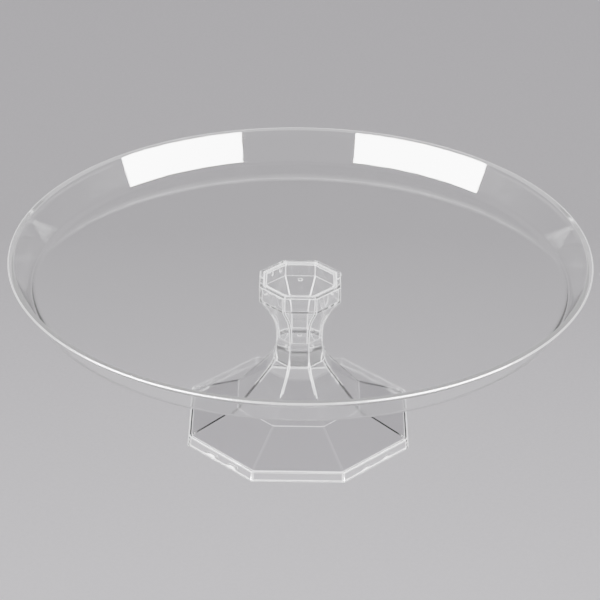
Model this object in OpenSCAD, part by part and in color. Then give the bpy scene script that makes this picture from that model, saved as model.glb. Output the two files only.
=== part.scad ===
// Clear moulded cake stand: a round shallow plate that lifts off an octagonal hourglass pedestal.
// Frame: millimetres, +Z up, origin at the centre of the pedestal's underside on the table.

/* [Overall] */
// Outside diameter of the plate's rim
plate_diameter = 304.8; // [240:0.1:370]
// Height of the rim's top above the table
stand_height = 105; // [87:0.1:128]

/* [Plate] */
// Height of the plate from its underside to the top of the rim
plate_depth = 17.5; // [14:0.1:24]
// Thickness of the plate's flat floor
floor_thickness = 1.7; // [1.2:0.1:3]
// Thickness of the plate's sloping wall
wall_thickness = 1.7; // [1.2:0.1:2.4]
// Width of the flat ring on top of the thickened rim
rim_width = 3.1; // [2.9:0.1:5]
// Height of the rim's upright outer edge
rim_edge_height = 0.8; // [0.4:0.1:1.5]
// Height over which the rim thins down to the wall
rim_height = 4; // [2:0.1:6]
// Lean of the plate's wall outwards from upright, in degrees
wall_lean = 28; // [15:0.5:45]
// Radius of the inside corner between wall and floor
floor_corner_radius = 1.2; // [1:0.1:8]
// Radius of the outside corner between wall and underside
outer_corner_radius = 8; // [4:0.1:9]
// Depth of the eight-sided locating rib under the floor
plug_depth = 1.2; // [0.8:0.1:3]
// Thickness of the locating rib
plug_wall = 1.2; // [0.8:0.1:3]

/* [Pedestal base] */
// Width of the base across its flats at the table
base_width = 118; // [96:0.1:145]
// How far each side of the skirt leans in from its foot to its top
skirt_lean = 0.5; // [0:0.1:1.5]
// Height of the upright skirt
skirt_height = 5.9; // [4:0.1:8]
// Width where the sloping deck meets the stem, as a share of the base's width
deck_share = 0.5525; // [0.45:0.0005:0.65]
// Height of that meeting line above the table
deck_height = 18; // [14.5:0.1:22]
// Thickness of the pedestal's walls
shell_thickness = 2.3; // [1.6:0.1:3]

/* [Pedestal stem] */
// Width of the neck across its flats
neck_width = 24.4; // [20:0.1:30]
// Share of the stem's height at which the lower flare would meet the neck
lower_bend_share = 0.41; // [0.35:0.001:0.47]
// Share of the stem's height at which the upper flare would meet the neck
upper_bend_share = 0.784; // [0.72:0.001:0.83]
// Share of the neck that is taken up by the two curved bends
bend_share = 0.76; // [0.5:0.01:0.95]
// Share of the stem's height at which the solid web starts
web_bottom_share = 0.383; // [0.32:0.001:0.45]
// Share of the stem's height at which the solid web ends
web_top_share = 0.605; // [0.53:0.001:0.68]

/* [Socket cup] */
// Width of the cup across its flats
cup_width = 42.7; // [35.5:0.1:52]
// Height of the cup's upright wall
cup_height = 8.9; // [7:0.1:11]
// Space on each side between the plate's locating rib and the cup
plug_clearance = 0.2; // [0.1:0.05:0.5]
// Space between the top of the cup and the underside of the plate
seat_gap = 0.05; // [0.02:0.01:0.1]

/* [Gate marks] */
// Diameter of the small round stub left at each piece's moulding gate
gate_mark_diameter = 2.4; // [1.5:0.1:4]
// Height of that stub
gate_mark_height = 0.5; // [0.2:0.1:1]

/* [Colour] */
// Tint of the clear plastic as red, green, blue and opacity
clear_tint = [0.86, 0.88, 0.9, 0.45]; // [0:0.01:1]

/* [Hidden] */
$fn = 96;
overshoot = 1;
bend_steps = 10;
underside_z = stand_height - plate_depth;
cup_top_z = underside_z - seat_gap;
cup_bottom_z = cup_top_z - cup_height;
stem_height = cup_bottom_z - deck_height;
lower_bend_z = deck_height + lower_bend_share * stem_height;
upper_bend_z = deck_height + upper_bend_share * stem_height;
web_bottom_z = deck_height + web_bottom_share * stem_height;
web_top_z = deck_height + web_top_share * stem_height;
bend_length = bend_share * (upper_bend_z - lower_bend_z) / 2;
plate_radius = plate_diameter / 2;
skirt_top_width = base_width - 2 * skirt_lean;
deck_width = deck_share * base_width;
plug_width = cup_width - 2 * shell_thickness - 2 * plug_clearance;

// Half outline of the pedestal, from the table up to the top of the cup, as [half width, height]
foot_edge = [base_width / 2, 0];
skirt_edge = [skirt_top_width / 2, skirt_height];
deck_edge = [deck_width / 2, deck_height];
lower_bend = [neck_width / 2, lower_bend_z];
upper_bend = [neck_width / 2, upper_bend_z];
cup_low_edge = [cup_width / 2, cup_bottom_z];
cup_edge = [cup_width / 2, cup_top_z];

// The same corners on the inside of the shell
foot_edge_in = foot_edge - [shell_thickness, overshoot];
skirt_edge_in = inset_corner(foot_edge, skirt_edge, deck_edge);
deck_edge_in = inset_corner(skirt_edge, deck_edge, lower_bend);
cup_low_edge_in = inset_corner(upper_bend, cup_low_edge, cup_edge);
cup_edge_in = cup_edge + [-shell_thickness, overshoot];

// Unit direction from one point to the next
function heading(from, to) = (to - from) / norm(to - from);

// Unit direction square to a line of the outline, pointing into the material
function inward(from, to) = [-heading(from, to)[1], heading(from, to)[0]];

// Corner b of the outline a-b-c, moved in by the shell's thickness
function inset_corner(a, b, c) =
    b + shell_thickness * (inward(a, b) + inward(b, c)) / (1 + inward(a, b) * inward(b, c));

// Angle through which the outline turns at corner b
function turn_angle(a, b, c) = acos(heading(a, b) * heading(b, c));

// Radius of a bend that starts one bend length away from its corner
function bend_radius(a, b, c) = bend_length / tan(turn_angle(a, b, c) / 2);

// Centre of the outer bend at corner b, which both surfaces of the shell share
function bend_centre(a, b, c) =
    b - bend_length * heading(a, b) - bend_radius(a, b, c) * inward(a, b);

// Points along the bend at corner b, on the surface a given depth into the material
function bend_points(a, b, c, depth) = [
    for (step = [0 : bend_steps])
        let (angle = turn_angle(a, b, c) * step / bend_steps)
            bend_centre(a, b, c)
                + (bend_radius(a, b, c) + depth) * (cos(angle) * inward(a, b) + sin(angle) * heading(a, b))
];

// Both bends of the stem in order from the table up, on the surface a given depth into the material
function stem_points(depth) = concat(
    bend_points(deck_edge, lower_bend, upper_bend, depth),
    bend_points(lower_bend, upper_bend, cup_low_edge, depth)
);

// The same points on the left side, in the opposite order
function left_side(points) = [
    for (back = [len(points) - 1 : -1 : 0]) [-points[back][0], points[back][1]]
];

// Whole outline from the points of its right side
module outline(points) {
    polygon(concat(points, left_side(points)));
}

// Outline of the pedestal's outer surface
module outer_outline() {
    outline(concat([foot_edge, skirt_edge, deck_edge], stem_points(0), [cup_low_edge, cup_edge]));
}

// Outline of the space inside the shell, as if it ran through the web
module inner_outline() {
    outline(concat(
        [foot_edge_in, skirt_edge_in, deck_edge_in], stem_points(shell_thickness), [cup_low_edge_in, cup_edge_in]
    ));
}

// Solid with eight flat sides that follow a full outline of half width against height
module octagonal(width) {
    intersection_for(quarter = [0 : 3]) {
        rotate([0, 0, 45 * quarter])
            rotate([90, 0, 0])
                linear_extrude(height = 2 * width, center = true) children();
    }
}

// Hollow under the web, open at the table
module lower_hollow() {
    octagonal(base_width) intersection() {
        inner_outline();
        translate([-base_width, -base_width]) square([2 * base_width, base_width + web_bottom_z]);
    }
}

// Hollow above the web, open at the top of the cup
module upper_hollow() {
    octagonal(base_width) intersection() {
        inner_outline();
        translate([-base_width, web_top_z]) square([2 * base_width, stand_height]);
    }
}

// Small stub left where the plastic was fed into the mould
module gate_mark() {
    cylinder(h = gate_mark_height + overshoot, d = gate_mark_diameter);
}

// Octagonal hourglass pedestal with a solid web in its neck
module pedestal() {
    color(clear_tint) {
        difference() {
            octagonal(base_width) outer_outline();
            lower_hollow();
            upper_hollow();
        }
        translate([0, 0, web_top_z - overshoot]) gate_mark();
    }
}

// Outline of the plate's bowl shape: radius r at the top, corner radius c, floor at height z
module bowl_outline(r, c, z) {
    lean_run = (plate_depth - z) * tan(wall_lean);
    foot = r - lean_run;
    corner_run = c * tan((90 - wall_lean) / 2);
    difference() {
        polygon([[0, z], [foot, z], [r, plate_depth], [0, plate_depth]]);
        difference() {
            polygon([
                [foot - corner_run, z - overshoot], [foot + overshoot, z - overshoot],
                [foot + corner_run * sin(wall_lean) + overshoot, z + corner_run * cos(wall_lean)],
                [foot + corner_run * sin(wall_lean), z + corner_run * cos(wall_lean)],
                [foot - corner_run, z + c]
            ]);
            translate([foot - corner_run, z + c]) circle(c);
        }
    }
}

// Half section of the plate
module plate_section() {
    inner_top = plate_radius - rim_width;
    outer_top = inner_top + wall_thickness / cos(wall_lean);
    difference() {
        union() {
            bowl_outline(outer_top, outer_corner_radius, 0);
            polygon([
                [inner_top, plate_depth], [plate_radius, plate_depth],
                [plate_radius, plate_depth - rim_edge_height],
                [outer_top - rim_height * tan(wall_lean), plate_depth - rim_height],
                [inner_top - rim_height * tan(wall_lean), plate_depth - rim_height]
            ]);
        }
        bowl_outline(inner_top, floor_corner_radius, floor_thickness);
    }
}

// Octagonal prism of a given width across its flats
module octagon_prism(width, height) {
    rotate([0, 0, 22.5]) cylinder(h = height, d = width / cos(22.5), $fn = 8);
}

// Round shallow plate with its locating rib and gate mark underneath
module plate() {
    color(clear_tint) translate([0, 0, underside_z]) {
        rotate_extrude($fn = 180) plate_section();
        translate([0, 0, -plug_depth]) difference() {
            octagon_prism(plug_width, plug_depth + floor_thickness / 2);
            translate([0, 0, -overshoot])
                octagon_prism(plug_width - 2 * plug_wall, plug_depth + overshoot);
        }
        translate([0, 0, -gate_mark_height]) gate_mark();
    }
}

plate();
pedestal();
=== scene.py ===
import itertools
import math

import bpy
import bmesh
from mathutils import Matrix, Vector


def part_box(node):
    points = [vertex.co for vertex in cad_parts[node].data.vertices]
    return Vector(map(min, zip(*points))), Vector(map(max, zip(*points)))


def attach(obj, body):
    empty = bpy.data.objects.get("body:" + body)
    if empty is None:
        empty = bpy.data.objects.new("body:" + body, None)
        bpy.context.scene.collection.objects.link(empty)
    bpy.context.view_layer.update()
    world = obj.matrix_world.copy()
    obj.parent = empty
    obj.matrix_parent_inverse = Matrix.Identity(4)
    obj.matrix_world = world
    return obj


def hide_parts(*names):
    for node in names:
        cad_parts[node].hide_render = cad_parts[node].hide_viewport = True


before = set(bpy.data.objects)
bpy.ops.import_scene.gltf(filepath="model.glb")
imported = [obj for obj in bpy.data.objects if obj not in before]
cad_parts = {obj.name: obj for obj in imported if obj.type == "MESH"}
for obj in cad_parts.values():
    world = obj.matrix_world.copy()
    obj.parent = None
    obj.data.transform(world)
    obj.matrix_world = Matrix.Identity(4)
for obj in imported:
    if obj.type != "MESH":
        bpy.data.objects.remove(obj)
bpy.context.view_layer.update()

# ---------------------------------------------------------------- sizes, in metres
PLATE_LOW, PLATE_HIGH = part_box("plate")
STAND_LOW, STAND_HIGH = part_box("pedestal")
PLATE_RADIUS = (PLATE_HIGH.x - PLATE_LOW.x) / 2
PLATE_TOP = PLATE_HIGH.z
RIB_DEPTH = 0.0012
RIB_WALL = 0.0012
RIB_HALF = 0.01885
UNDERSIDE = PLATE_LOW.z + RIB_DEPTH
FLOOR_THICKNESS = 0.0017
WALL_THICKNESS = 0.0017
WALL_LEAN = math.radians(28)
RIM_WIDTH = 0.0031
RIM_EDGE_HEIGHT = 0.0008
RIM_HEIGHT = 0.004
FLOOR_CORNER = 0.0012
OUTER_CORNER = 0.008
GATE_RADIUS = 0.0012
GATE_HEIGHT = 0.0005
BASE_HALF = (STAND_HIGH.x - STAND_LOW.x) / 2
CUP_TOP = STAND_HIGH.z
SKIRT_LEAN = 0.0005
SKIRT_HEIGHT = 0.0059
DECK_HALF = 0.5525 * BASE_HALF
DECK_HEIGHT = 0.018
NECK_HALF = 0.0122
CUP_HALF = 0.02135
CUP_HEIGHT = 0.0089
LOWER_BEND_SHARE = 0.41
UPPER_BEND_SHARE = 0.784
BEND_SHARE = 0.76
WEB_BOTTOM_SHARE = 0.383
WEB_TOP_SHARE = 0.605
SHELL = 0.0023

# Rounding radii: ordinary edges, the rim's edges and the octagon's corners, which small rings limit.
# Arcs up to the widest edge take an edge material, whose strong glow is painted light.
EDGE = 0.00035
RIM_EDGE = 0.0006
CORNER_EDGE = 0.0007
CORNER_LIMIT = 0.98
WIDEST_EDGE = 0.0007

# Helper points: just past an edge's arc, and on the flat of the web
PAST_EDGE = EDGE * 1.5
WEB_FLAT_SHARE = 0.85

# Heights on the pedestal: below the first the ridges are faint, with painted shade and a painted glow; below
# the second the walls get painted shade
RIDGE_LOW = 0.029
SHADE_TOP = 0.036

# Points in a ring: in each corner of the octagon, and along each flat between corners
SIDES = 8
SIDE_TURN = 2 * math.pi / SIDES
PLATE_RING = (9, 63)
PEDESTAL_RING = (9, 5)

# Steps in an arc: the bowl's bends, the stem's long bends, the web's corners and all small details
BOWL_STEPS = 8
STEM_STEPS = 16
WEB_STEPS = 6
DETAIL_STEPS = 4

# Material slots. The plate has a rim slot where the pedestal has its painted shade slot and its slot of
# painted shade with a painted glow.
BODY_SLOT, EDGE_SLOT, RIM_SLOT = 0, 1, 2
SHADE_SLOT, SHADE_GLOW_SLOT = 2, 3

# Every rounded edge has a number of its own, and the band between two points of one number is an edge.
# The rim's edges share a number, so its top and its outside face count as edge too.
EDGE_NUMBERS = itertools.count(1)
RIM_NUMBER = -1


# ---------------------------------------------------------------- outlines and lofts
class Spot:
    """One point of an outline: half width, height, and its edge's number, which is 0 on a plain surface."""

    def __init__(self, w, z, edge=0):
        self.w, self.z, self.edge = w, z, edge
        self.slot = EDGE_SLOT

    def at(self):
        return Vector((self.w, self.z))


def rounded(path, steps):
    """Outline through (half width, height, radius) corners, each turned into an arc.

    Small arcs are edges. A radius of 0 is a single point, which only guides the mesh on a flat face.
    """
    out = []
    for i, (w, z, radius) in enumerate(path):
        here = Vector((w, z))
        if i == 0 or i == len(path) - 1 or radius <= 0:
            out.append(Spot(w, z))
            continue
        a = (Vector(path[i - 1][:2]) - here).normalized()
        b = (Vector(path[i + 1][:2]) - here).normalized()
        opening = a.angle(b)
        run = radius / math.tan(opening / 2)
        centre = here + (a + b).normalized() * radius / math.sin(opening / 2)
        start, end = here + a * run - centre, here + b * run - centre
        turn = start.angle(end)
        edge = next(EDGE_NUMBERS) if radius <= WIDEST_EDGE else 0
        for k in range(steps + 1):
            t = k / steps
            mixed = centre + (start * math.sin((1 - t) * turn) + end * math.sin(t * turn)) / math.sin(turn)
            out.append(Spot(mixed.x, mixed.y, edge))
    return out


def octagon_ring(half, corner, per_corner, per_flat):
    """Points round an octagon with flat sides on the axes and rounded corners."""
    corner = min(corner, half * CORNER_LIMIT)
    reach = (half - corner) / math.cos(SIDE_TURN / 2)
    arcs = []
    for side in range(SIDES):
        middle = SIDE_TURN * side + SIDE_TURN / 2
        centre = Vector((reach * math.cos(middle), reach * math.sin(middle)))
        arc = []
        for k in range(per_corner):
            angle = middle - SIDE_TURN / 2 + SIDE_TURN * k / (per_corner - 1)
            arc.append(centre + corner * Vector((math.cos(angle), math.sin(angle))))
        arcs.append(arc)
    ring = []
    for side in range(SIDES):
        ring += arcs[side]
        start, end = arcs[side][-1], arcs[(side + 1) % SIDES][0]
        for k in range(1, per_flat + 1):
            ring.append(start.lerp(end, k / (per_flat + 1)))
    return ring


def round_ring(radius, per_corner, per_flat):
    """Points round a circle, as many as octagon_ring gives and starting at the same side."""
    count = SIDES * (per_corner + per_flat)
    first = SIDE_TURN / 2 - SIDE_TURN / 2 * (per_corner - 1) / (per_corner + per_flat)
    turns = [first + 2 * math.pi * k / count for k in range(count)]
    return [Vector((radius * math.cos(turn), radius * math.sin(turn))) for turn in turns]


def band_slots(a, b, cornered):
    """Material slots of the band between two points of an outline: on its flats, then on its corners."""
    if a.edge != 0 and a.edge == b.edge:
        return a.slot, a.slot
    if not cornered:
        return BODY_SLOT, BODY_SLOT
    middle = (a.z + b.z) / 2
    steep = abs(a.z - b.z) > abs(a.w - b.w)
    # Flats between the skirt and SHADE_TOP get painted shade; corners below RIDGE_LOW get painted shade with
    # a painted glow.
    flat = SHADE_SLOT if SKIRT_HEIGHT < middle < SHADE_TOP else BODY_SLOT
    if SKIRT_HEIGHT < middle < RIDGE_LOW:
        return flat, SHADE_GLOW_SLOT
    return flat, EDGE_SLOT if steep else BODY_SLOT


def loft(name, spots, shape_of, ring_points, start_pole, end_pole, end_slot, materials):
    """Closed mesh through one ring for each point of an outline, with a fan of triangles at both ends.

    Each flat band, edge and corner of the octagon gets its material slot. end_slot is for the last fan.
    """
    per_corner, per_flat = ring_points
    count = SIDES * (per_corner + per_flat)
    verts, faces, slots = [], [], []
    for k, spot in enumerate(spots):
        if shape_of(k) == "round":
            ring = round_ring(spot.w, per_corner, per_flat)
        else:
            ring = octagon_ring(spot.w, CORNER_EDGE, per_corner, per_flat)
        verts += [(p.x, p.y, spot.z) for p in ring]
    for r in range(len(spots) - 1):
        cornered = shape_of(r) == "octagon" and shape_of(r + 1) == "octagon"
        flat_slot, corner_slot = band_slots(spots[r], spots[r + 1], cornered)
        for k in range(count):
            n = (k + 1) % count
            faces.append((r * count + k, r * count + n, (r + 1) * count + n, (r + 1) * count + k))
            on_corner = k % (per_corner + per_flat) < per_corner - 1
            slots.append(corner_slot if on_corner else flat_slot)
    start, end = len(verts), len(verts) + 1
    verts += [start_pole, end_pole]
    last = (len(spots) - 1) * count
    for k in range(count):
        n = (k + 1) % count
        faces.append((start, n, k))
        faces.append((end, last + k, last + n))
        slots += [BODY_SLOT, end_slot]
    mesh = bpy.data.meshes.new(name)
    mesh.from_pydata(verts, [], faces)
    for material in materials:
        mesh.materials.append(material)
    mesh.polygons.foreach_set("material_index", slots)
    bm = bmesh.new()
    bm.from_mesh(mesh)
    bmesh.ops.recalc_face_normals(bm, faces=bm.faces)
    bm.to_mesh(mesh)
    bm.free()
    mesh.shade_smooth()
    obj = bpy.data.objects.new(name, mesh)
    bpy.context.scene.collection.objects.link(obj)
    weighted = obj.modifiers.new("weighted_normals", "WEIGHTED_NORMAL")
    weighted.weight = 100
    weighted.keep_sharp = True
    return obj


# ---------------------------------------------------------------- plate
def make_plate(materials):
    """Floor, sloped wall and rim, then the rib and the gate mark under the floor."""
    lean = math.tan(WALL_LEAN)
    floor_z = UNDERSIDE + FLOOR_THICKNESS
    inner_top = PLATE_RADIUS - RIM_WIDTH
    outer_top = inner_top + WALL_THICKNESS / math.cos(WALL_LEAN)
    rib_inside = RIB_HALF - RIB_WALL
    bowl = rounded([
        (GATE_RADIUS * 2, floor_z, 0),
        (inner_top - (PLATE_TOP - floor_z) * lean, floor_z, FLOOR_CORNER),
        (inner_top, PLATE_TOP, RIM_EDGE),
        (PLATE_RADIUS, PLATE_TOP, RIM_EDGE),
        (PLATE_RADIUS, PLATE_TOP - RIM_EDGE_HEIGHT, EDGE),
        (outer_top - RIM_HEIGHT * lean, PLATE_TOP - RIM_HEIGHT, RIM_HEIGHT / 2),
        (outer_top - (PLATE_TOP - UNDERSIDE) * lean, UNDERSIDE, OUTER_CORNER),
        (RIB_HALF * 1.5, UNDERSIDE, 0),
    ], BOWL_STEPS)
    for spot in bowl:
        if spot.z > PLATE_TOP - RIM_EDGE_HEIGHT and spot.edge:
            spot.edge = RIM_NUMBER
            # The rim's top takes the rim material, whose glow is painted light.
            if spot.w < PLATE_RADIUS - RIM_EDGE * 1.5:
                spot.slot = RIM_SLOT
    rib = rounded([
        (RIB_HALF * 1.2, UNDERSIDE, 0),
        (RIB_HALF, UNDERSIDE, EDGE / 2),
        (RIB_HALF, UNDERSIDE - RIB_DEPTH, EDGE),
        (rib_inside, UNDERSIDE - RIB_DEPTH, EDGE),
        (rib_inside, UNDERSIDE, EDGE / 2),
        (rib_inside * 0.8, UNDERSIDE, 0),
    ], DETAIL_STEPS)
    gate = rounded([
        (GATE_RADIUS * 2, UNDERSIDE, 0),
        (GATE_RADIUS, UNDERSIDE, GATE_HEIGHT / 4),
        (GATE_RADIUS, UNDERSIDE - GATE_HEIGHT, GATE_HEIGHT / 2),
        (GATE_RADIUS / 3, UNDERSIDE - GATE_HEIGHT, 0),
    ], DETAIL_STEPS)
    ribs = range(len(bowl), len(bowl) + len(rib))
    return loft(
        "plate_clear", bowl + rib + gate, lambda k: "octagon" if k in ribs else "round", PLATE_RING,
        (0, 0, floor_z), (0, 0, UNDERSIDE - GATE_HEIGHT), BODY_SLOT, materials)


# ---------------------------------------------------------------- pedestal
def inset(a, b, c, depth):
    """Corner b of the outline a-b-c moved by depth into the material."""
    h1, h2 = (b - a).normalized(), (c - b).normalized()
    n1, n2 = Vector((-h1.y, h1.x)), Vector((-h2.y, h2.x))
    return b + depth * (n1 + n2) / (1 + n1.dot(n2))


def crossings(a, b, *heights):
    """New points where the rising step from a to b passes the heights."""
    cuts = [a.at().lerp(b.at(), (height - a.z) / (b.z - a.z)) for height in heights if a.z < height < b.z]
    return [Spot(cut.x, cut.y) for cut in cuts]


def clipped(spots, low, high):
    """The part of a rising outline between two heights, with its ends cut exactly there."""
    out = []
    for a, b in zip(spots, spots[1:]):
        if low <= a.z <= high:
            out.append(a)
        out += crossings(a, b, low, high)
    if low <= spots[-1].z <= high:
        out.append(spots[-1])
    return out


def with_ring_at(spots, height):
    """A rising outline with one more point where it passes a height."""
    out = []
    for a, b in zip(spots, spots[1:]):
        out += [a] + crossings(a, b, height)
    return out + [spots[-1]]


def make_pedestal(materials):
    """Hollow above the web, cup, outside and foot, then the hollow below the web."""
    stem = CUP_TOP - CUP_HEIGHT - DECK_HEIGHT
    low_z = DECK_HEIGHT + LOWER_BEND_SHARE * stem
    high_z = DECK_HEIGHT + UPPER_BEND_SHARE * stem
    web_low = DECK_HEIGHT + WEB_BOTTOM_SHARE * stem
    web_high = DECK_HEIGHT + WEB_TOP_SHARE * stem
    corners = [Vector(p) for p in (
        (BASE_HALF, 0), (BASE_HALF - SKIRT_LEAN, SKIRT_HEIGHT), (DECK_HALF, DECK_HEIGHT), (NECK_HALF, low_z),
        (NECK_HALF, high_z), (CUP_HALF, CUP_TOP - CUP_HEIGHT), (CUP_HALF, CUP_TOP),
    )]
    bend_run = BEND_SHARE * (high_z - low_z) / 2

    def bend_radius(i):
        turn = (corners[i] - corners[i - 1]).angle(corners[i + 1] - corners[i])
        return bend_run / math.tan(turn / 2)

    inner = [inset(corners[i - 1], corners[i], corners[i + 1], SHELL) for i in range(1, 6)]
    inner_radii = [EDGE, EDGE, bend_radius(3) + SHELL, bend_radius(4) + SHELL, EDGE]
    outer_radii = [EDGE, EDGE, bend_radius(3), bend_radius(4), EDGE]
    inside = rounded(
        [(BASE_HALF - SHELL, EDGE, 0)] + [(p.x, p.y, r) for p, r in zip(inner, inner_radii)]
        + [(CUP_HALF - SHELL, CUP_TOP - EDGE, 0)], STEM_STEPS)
    outside = rounded(
        [(BASE_HALF, EDGE, 0)] + [(p.x, p.y, r) for p, r in zip(corners[1:6], outer_radii)]
        + [(CUP_HALF, CUP_TOP - EDGE, 0)], STEM_STEPS)
    inside, outside = with_ring_at(inside, RIDGE_LOW), with_ring_at(outside, RIDGE_LOW)
    upper = clipped(inside, web_high, CUP_TOP)
    lower = clipped(inside, 0, web_low)
    lip = rounded([
        (CUP_HALF - SHELL, CUP_TOP - PAST_EDGE, 0), (CUP_HALF - SHELL, CUP_TOP, EDGE),
        (CUP_HALF, CUP_TOP, EDGE), (CUP_HALF, CUP_TOP - PAST_EDGE, 0),
    ], DETAIL_STEPS)[1:-1]
    foot = rounded([
        (BASE_HALF, PAST_EDGE, 0), (BASE_HALF, 0, EDGE),
        (BASE_HALF - SHELL, 0, EDGE), (BASE_HALF - SHELL, PAST_EDGE, 0),
    ], DETAIL_STEPS)[1:-1]
    gate = rounded([
        (GATE_RADIUS / 3, web_high + GATE_HEIGHT, 0), (GATE_RADIUS, web_high + GATE_HEIGHT, GATE_HEIGHT / 2),
        (GATE_RADIUS, web_high, GATE_HEIGHT / 4), (GATE_RADIUS * 2, web_high, 0),
    ], DETAIL_STEPS)
    ceiling = rounded([
        (lower[-2].w, lower[-2].z, 0), (lower[-1].w, web_low, EDGE),
        (lower[-1].w * WEB_FLAT_SHARE, web_low, 0),
    ], WEB_STEPS)
    ground = rounded([
        (upper[0].w * WEB_FLAT_SHARE, web_high, 0),
        (upper[0].w, web_high, EDGE), (upper[1].w, upper[1].z, 0),
    ], WEB_STEPS)
    spots = gate + ground[:-1] + upper[1:] + lip + outside[::-1] + foot + lower[:-1] + ceiling[1:]
    return loft(
        "pedestal_clear", spots, lambda k: "round" if k < len(gate) else "octagon", PEDESTAL_RING,
        (0, 0, web_high + GATE_HEIGHT), (0, 0, web_low), SHADE_GLOW_SLOT, materials)


# ---------------------------------------------------------------- materials
PLASTIC_IOR = 1.59
POLISHED = (0.012, 0.05)
SATIN = (0.18, 0.3)
GLOSSY = (0.05, 0.12)
FAINT_WAVE = 0.0015
WAVE_DEPTH = 0.001
WEAR_RANGE = (0.35, 0.8)
WEAR_SEED = 3.7
# Colour of the painted glow, an emission standing in for light piped through the plastic
GLOW_COLOUR = (1, 0.99, 1, 1)
CLEAR = (0.985, 0.987, 0.99, 1)
BRIGHT = (0.97, 0.97, 0.98, 1)
# Painted shade: a grey tint on the lower pedestal walls, standing in for the floor's shadow under the
# pedestal.
SHADE = (0.74, 0.735, 0.75, 1)

# Noise: scale and detail of the plastic's flow and wear, and of the paper's grain
FLOW = (28, 2)
WEAR = (240, 6)
GRAIN = (520, 4)

# The paper, and its painted light: a slow brightening from a back line to a paler front line
PAPER_COLOUR = (0.58, 0.556, 0.592)
GRAIN_CONTRAST = 0.06
FADE_BACK_Y = 0.22
FADE_FRONT_Y = -0.16
FRONT_LIGHT_GAIN = 1.68


def new_material(name):
    mat = bpy.data.materials.new(name)
    mat.use_nodes = True
    mat.node_tree.nodes.clear()
    return mat, mat.node_tree.nodes, mat.node_tree.links


def noise(nodes, kind, seed):
    texture = nodes.new("ShaderNodeTexNoise")
    texture.noise_dimensions = "4D"
    texture.inputs["W"].default_value = seed
    texture.inputs["Scale"].default_value = kind[0]
    texture.inputs["Detail"].default_value = kind[1]
    return texture


def clear_plastic(name, seed, tint, glow, transmission=1.0, metallic=0.0, rough=POLISHED, wave=0.02):
    """Moulded plastic with flow waves and fine wear. The glow is painted light, an emission standing in for
    light piped to its edges.
    """
    mat, nodes, links = new_material(name)
    out = nodes.new("ShaderNodeOutputMaterial")
    shader = nodes.new("ShaderNodeBsdfPrincipled")
    shader.inputs["Transmission Weight"].default_value = transmission
    shader.inputs["Metallic"].default_value = metallic
    shader.inputs["IOR"].default_value = PLASTIC_IOR
    shader.inputs["Base Color"].default_value = tint
    shader.inputs["Emission Color"].default_value = GLOW_COLOUR
    shader.inputs["Emission Strength"].default_value = glow
    place = nodes.new("ShaderNodeTexCoord")
    flow = noise(nodes, FLOW, seed)
    wear = noise(nodes, WEAR, seed + WEAR_SEED)
    bump = nodes.new("ShaderNodeBump")
    bump.inputs["Strength"].default_value = wave
    bump.inputs["Distance"].default_value = WAVE_DEPTH
    spread = nodes.new("ShaderNodeMapRange")
    spread.inputs["From Min"].default_value = WEAR_RANGE[0]
    spread.inputs["From Max"].default_value = WEAR_RANGE[1]
    spread.inputs["To Min"].default_value = rough[0]
    spread.inputs["To Max"].default_value = rough[1]
    links.new(place.outputs["Object"], flow.inputs["Vector"])
    links.new(place.outputs["Object"], wear.inputs["Vector"])
    links.new(flow.outputs["Fac"], bump.inputs["Height"])
    links.new(bump.outputs["Normal"], shader.inputs["Normal"])
    links.new(wear.outputs["Fac"], spread.inputs["Value"])
    links.new(spread.outputs["Result"], shader.inputs["Roughness"])
    links.new(shader.outputs["BSDF"], out.inputs["Surface"])
    return mat


def paper(name):
    """Matt pale studio surface with a trace of grain, and painted light making it paler towards the front.
    """
    mat, nodes, links = new_material(name)
    out = nodes.new("ShaderNodeOutputMaterial")
    shader = nodes.new("ShaderNodeBsdfPrincipled")
    shader.inputs["Roughness"].default_value = 0.9
    shader.inputs["Specular IOR Level"].default_value = 0.1
    place = nodes.new("ShaderNodeTexCoord")
    grain = noise(nodes, GRAIN, 0.0)
    mix = nodes.new("ShaderNodeMix")
    mix.data_type = "RGBA"
    mix.inputs[6].default_value = [c * (1 - GRAIN_CONTRAST) for c in PAPER_COLOUR] + [1]
    mix.inputs[7].default_value = [c * (1 + GRAIN_CONTRAST) for c in PAPER_COLOUR] + [1]
    axes = nodes.new("ShaderNodeSeparateXYZ")
    # Painted light: the paper's colour is scaled up from the back line to the front line.
    front = nodes.new("ShaderNodeMapRange")
    front.inputs["From Min"].default_value = FADE_BACK_Y
    front.inputs["From Max"].default_value = FADE_FRONT_Y
    front.inputs["To Min"].default_value = 1.0
    front.inputs["To Max"].default_value = FRONT_LIGHT_GAIN
    shade = nodes.new("ShaderNodeVectorMath")
    shade.operation = "SCALE"
    links.new(place.outputs["Object"], axes.inputs["Vector"])
    links.new(axes.outputs["Y"], front.inputs["Value"])
    links.new(place.outputs["Object"], grain.inputs["Vector"])
    links.new(grain.outputs["Fac"], mix.inputs["Factor"])
    links.new(mix.outputs[2], shade.inputs["Vector"])
    links.new(front.outputs["Result"], shade.inputs["Scale"])
    links.new(shade.outputs["Vector"], shader.inputs["Base Color"])
    links.new(shader.outputs["BSDF"], out.inputs["Surface"])
    return mat


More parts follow.
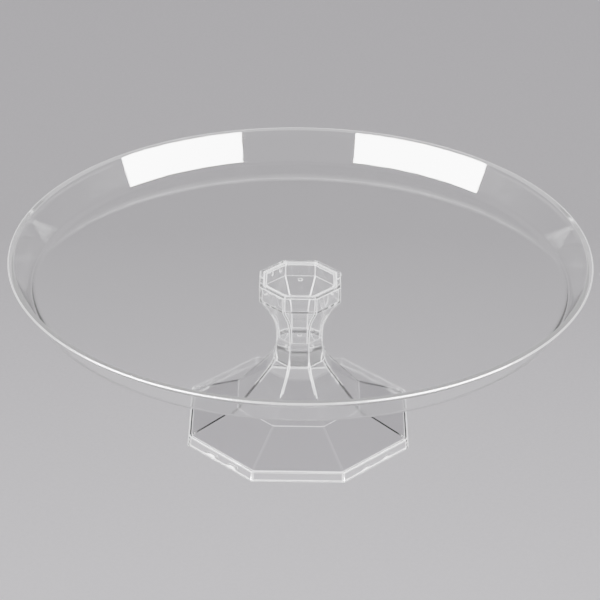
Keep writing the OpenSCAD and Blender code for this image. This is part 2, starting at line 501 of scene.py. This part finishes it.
# Painted light: every plastic has a weak emission glow, and the edges and rim a strong one, standing in for
# light piped along the plastic. The pedestal's shade and web materials carry painted shade.
plate_plastic = clear_plastic("plate_plastic", 1.0, CLEAR, 0.03)
plate_edge_glow = clear_plastic(
    "plate_edge_glow", 2.0, BRIGHT, 1.2, transmission=0.8, metallic=0.15, rough=SATIN)
plate_rim_glow = clear_plastic(
    "plate_rim_glow", 3.0, BRIGHT, 0.32, transmission=0.9, metallic=0.06, rough=GLOSSY)
pedestal_plastic = clear_plastic("pedestal_plastic", 5.0, CLEAR, 0.035, wave=FAINT_WAVE)
pedestal_shade = clear_plastic("pedestal_shade", 7.0, SHADE, 0.01, wave=FAINT_WAVE)
pedestal_shade_glow = clear_plastic("pedestal_web_shade_glow", 8.0, SHADE, 0.15, wave=FAINT_WAVE)
pedestal_edge_glow = clear_plastic(
    "pedestal_edge_glow", 6.0, BRIGHT, 1.3, transmission=0.8, metallic=0.1, rough=SATIN, wave=FAINT_WAVE)
for node, material in (("plate", plate_plastic), ("pedestal", pedestal_plastic)):
    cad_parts[node].data.materials.clear()
    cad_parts[node].data.materials.append(material)

plate = make_plate((plate_plastic, plate_edge_glow, plate_rim_glow))
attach(plate, "plate")
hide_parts("plate")

pedestal = make_pedestal((pedestal_plastic, pedestal_edge_glow, pedestal_shade, pedestal_shade_glow))
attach(pedestal, "pedestal")
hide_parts("pedestal")

# Clear plastic this thin hardly shades the floor: the pieces cast no shadow and stay out of diffuse light.
for piece in (plate, pedestal):
    piece.visible_diffuse = False
    piece.visible_shadow = False


# ---------------------------------------------------------------- floor, light, camera
FLOOR_HALF = 12.0
FLOOR_Z = -0.0002


def make_floor():
    """One large square just under the foot."""
    mesh = bpy.data.meshes.new("floor")
    signs = ((-1, -1), (1, -1), (1, 1), (-1, 1))
    mesh.from_pydata([(x * FLOOR_HALF, y * FLOOR_HALF, FLOOR_Z) for x, y in signs], [], [(0, 1, 2, 3)])
    floor = bpy.data.objects.new("floor", mesh)
    bpy.context.scene.collection.objects.link(floor)
    mesh.materials.append(paper("floor_paper"))


def soft_panel(name, azimuth, elevation, distance, width, height, brightness, highlight_only):
    """Rectangular soft light that faces the stand. Azimuth 0 is in front and 90 is at the right."""
    data = bpy.data.lights.new(name, "AREA")
    data.shape = "RECTANGLE"
    data.size, data.size_y = width, height
    data.energy = brightness * math.pi * width * height
    light = bpy.data.objects.new(name, data)
    a, e = math.radians(azimuth), math.radians(elevation)
    way = Vector((math.sin(a) * math.cos(e), -math.cos(a) * math.cos(e), math.sin(e)))
    light.location = Vector((0, 0, STAND_HIGH.z)) + way * distance
    light.rotation_mode = "QUATERNION"
    light.rotation_quaternion = way.to_track_quat("Z", "Y")
    light.visible_camera = False
    light.visible_diffuse = not highlight_only
    light.visible_transmission = False
    light.visible_glossy = highlight_only
    bpy.context.scene.collection.objects.link(light)


make_floor()
# name, azimuth, elevation, distance, width, height, brightness, highlights only
PANELS = (
    ("softbox_right", 56, 27, 1.6, 1.435, 0.75, 185, True),
    ("softbox_left", -55.6, 27, 1.6, 1.6, 0.75, 185, True),
    ("ceiling", 180, 86, 2.6, 3.4, 3.4, 2.2, False),
)
for panel in PANELS:
    soft_panel(*panel)

WORLD_COLOUR = (0.40, 0.39, 0.405, 1)
WORLD_STRENGTH = 0.25
world = bpy.data.worlds.new("studio")
bpy.context.scene.world = world
world.use_nodes = True
world.node_tree.nodes["Background"].inputs["Color"].default_value = WORLD_COLOUR
world.node_tree.nodes["Background"].inputs["Strength"].default_value = WORLD_STRENGTH

CAMERA_LENS = 151.9
CAMERA_DISTANCE = 1.3374
CAMERA_RISE = math.radians(29.1)
CAMERA_ROLL = math.radians(0.75)
AIM = Vector((0, 0, 0.0761))
camera_data = bpy.data.cameras.new("camera")
camera_data.sensor_width = 36
camera_data.lens = CAMERA_LENS
camera = bpy.data.objects.new("camera", camera_data)
bpy.context.scene.collection.objects.link(camera)
forward = Vector((0, math.cos(CAMERA_RISE), -math.sin(CAMERA_RISE)))
right = Vector((1, 0, 0))
up = right.cross(forward)
rolled_right = math.cos(CAMERA_ROLL) * right + math.sin(CAMERA_ROLL) * up
rolled_up = -math.sin(CAMERA_ROLL) * right + math.cos(CAMERA_ROLL) * up
camera.rotation_mode = "QUATERNION"
camera.rotation_quaternion = Matrix((rolled_right, rolled_up, -forward)).transposed().to_quaternion()
camera.location = AIM - forward * CAMERA_DISTANCE
camera_data.clip_start = 0.05
camera_data.clip_end = 60
bpy.context.scene.camera = camera
